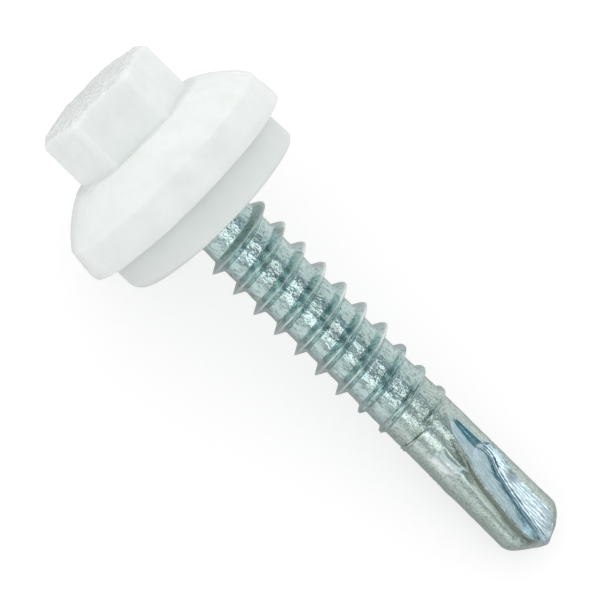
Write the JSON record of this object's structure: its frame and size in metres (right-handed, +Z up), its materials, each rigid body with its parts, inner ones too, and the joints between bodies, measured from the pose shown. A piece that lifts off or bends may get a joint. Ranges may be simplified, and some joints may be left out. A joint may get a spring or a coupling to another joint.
{
  "type": "self drilling screw",
  "caption": "Self-drilling roofing screw with a moulded hexagon flange head, a soft sealing washer and a fluted drill point.",
  "frame": {"origin": "centre of the bounding box's base, on the surface that the screw lies on", "axes": "+Z up; the screw lies along X with its head towards -X and its drill point towards +X, its axis rising to the head by the tilt at which it rests"},
  "size_m": [0.0406, 0.0162, 0.0161],
  "materials": {
    "zinc_plated_steel": "bright zinc plate over a rolled and forged surface",
    "moulded_plastic": "satin, milky translucent, as moulded",
    "soft_washer": "smooth, slightly translucent soft plastic"
  },
  "bodies": {
    "root": {"self_drilling_screw": "zinc_plated_steel", "moulded_head": "moulded_plastic", "sealing_washer": "soft_washer"}
  },
  "joints": []
}
